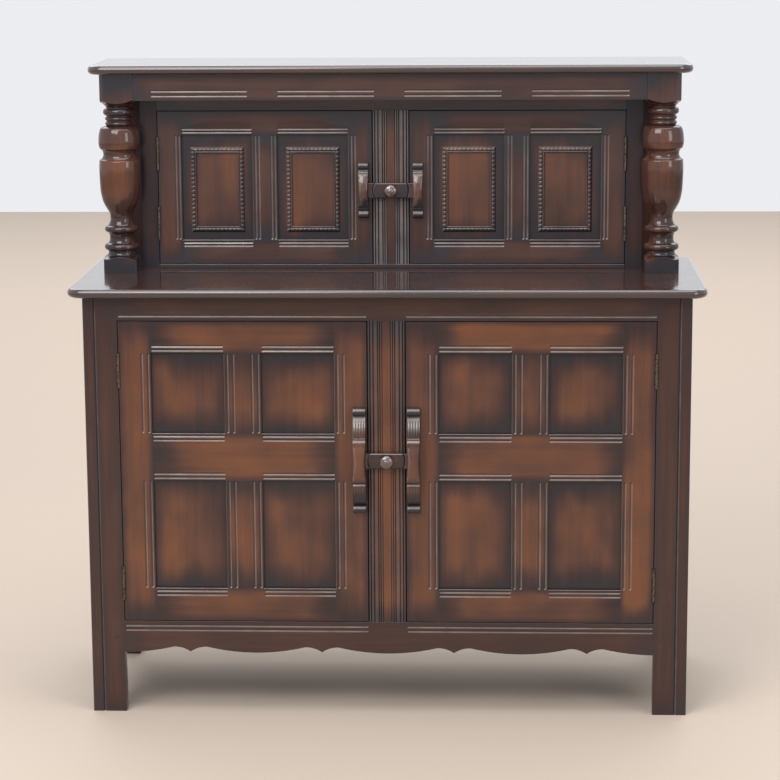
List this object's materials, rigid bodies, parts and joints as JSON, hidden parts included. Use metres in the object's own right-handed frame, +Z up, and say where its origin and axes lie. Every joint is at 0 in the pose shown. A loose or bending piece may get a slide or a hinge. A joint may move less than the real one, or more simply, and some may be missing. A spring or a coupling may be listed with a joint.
{
  "type": "court cupboard",
  "caption": "Two-tier court cupboard: panelled buffet below, and a set-back cupboard above under a canopy on turned posts, with hinged doors and turning latches.",
  "frame": {"origin": "on the floor under the middle of the buffet top", "axes": "+Z up, front towards -Y, +X to the right of someone facing the front"},
  "size_m": [1.228, 0.45, 1.2627],
  "materials": {
    "oak": "glossy dark lacquer",
    "brass": "dull"
  },
  "bodies": {
    "cupboard": {"back_rails": "oak", "battens": "oak", "bottom_board": "oak", "buffet_top": "oak", "canopy_top": "oak", "door_stops": "oak", "frame_hinges": "brass", "frame_pegs": "oak", "frieze_rail": "oak", "frieze_side_rails": "oak", "front_sill_rail": "oak", "front_stile_left": "oak", "front_stile_right": "oak", "front_top_rail": "oak", "inner_shelf": "oak", "lower_back_panel": "oak", "lower_muntin": "oak", "post_left": "oak", "post_right": "oak", "rear_legs": "oak", "side_front_stiles": "oak", "side_panels": "oak", "side_rails": "oak", "upper_back_panel": "oak", "upper_muntin": "oak", "upper_sides": "oak", "upper_sill": "oak", "upper_stiles": "oak", "upper_top_rail": "oak"},
    "lower_left_door": {"lower_left_door_handle": "oak", "lower_left_door_hinges": "brass", "lower_left_door_muntins": "oak", "lower_left_door_panels": "oak", "lower_left_door_rails": "oak", "lower_left_door_stiles": "oak"},
    "lower_right_door": {"lower_right_door_handle": "oak", "lower_right_door_hinges": "brass", "lower_right_door_muntins": "oak", "lower_right_door_panels": "oak", "lower_right_door_rails": "oak", "lower_right_door_stiles": "oak"},
    "upper_left_door": {"upper_left_door_handle": "oak", "upper_left_door_hinges": "brass", "upper_left_door_muntins": "oak", "upper_left_door_panels": "oak", "upper_left_door_rails": "oak", "upper_left_door_stiles": "oak"},
    "upper_right_door": {"upper_right_door_handle": "oak", "upper_right_door_hinges": "brass", "upper_right_door_muntins": "oak", "upper_right_door_panels": "oak", "upper_right_door_rails": "oak", "upper_right_door_stiles": "oak"},
    "lower_latch": {"lower_latch_bar": "oak", "lower_latch_collar": "oak", "lower_latch_knob": "oak"},
    "upper_latch": {"upper_latch_bar": "oak", "upper_latch_collar": "oak", "upper_latch_knob": "oak"}
  },
  "joints": [
    {"name": "lower_left_door_hinge", "type": "hinge", "parent": "cupboard", "child": "lower_left_door", "pos_m": [-0.51895, -0.1935, 0.486], "axis": [0, 0, -1], "range_deg": [0, 170]},
    {"name": "lower_right_door_hinge", "type": "hinge", "parent": "cupboard", "child": "lower_right_door", "pos_m": [0.51895, -0.1935, 0.486], "axis": [0, 0, 1], "range_deg": [0, 170]},
    {"name": "upper_left_door_hinge", "type": "hinge", "parent": "cupboard", "child": "upper_left_door", "pos_m": [-0.46775, 0.0655, 1.013], "axis": [0, 0, -1], "range_deg": [0, 105]},
    {"name": "upper_right_door_hinge", "type": "hinge", "parent": "cupboard", "child": "upper_right_door", "pos_m": [0.46775, 0.0655, 1.013], "axis": [0, 0, 1], "range_deg": [0, 105]},
    {"name": "lower_latch_turn", "type": "hinge", "parent": "cupboard", "child": "lower_latch", "pos_m": [0, -0.193, 0.5124], "axis": [0, 1, 0], "continuous": true},
    {"name": "upper_latch_turn", "type": "hinge", "parent": "cupboard", "child": "upper_latch", "pos_m": [0, 0.066, 1.0086], "axis": [0, 1, 0], "continuous": true}
  ]
}
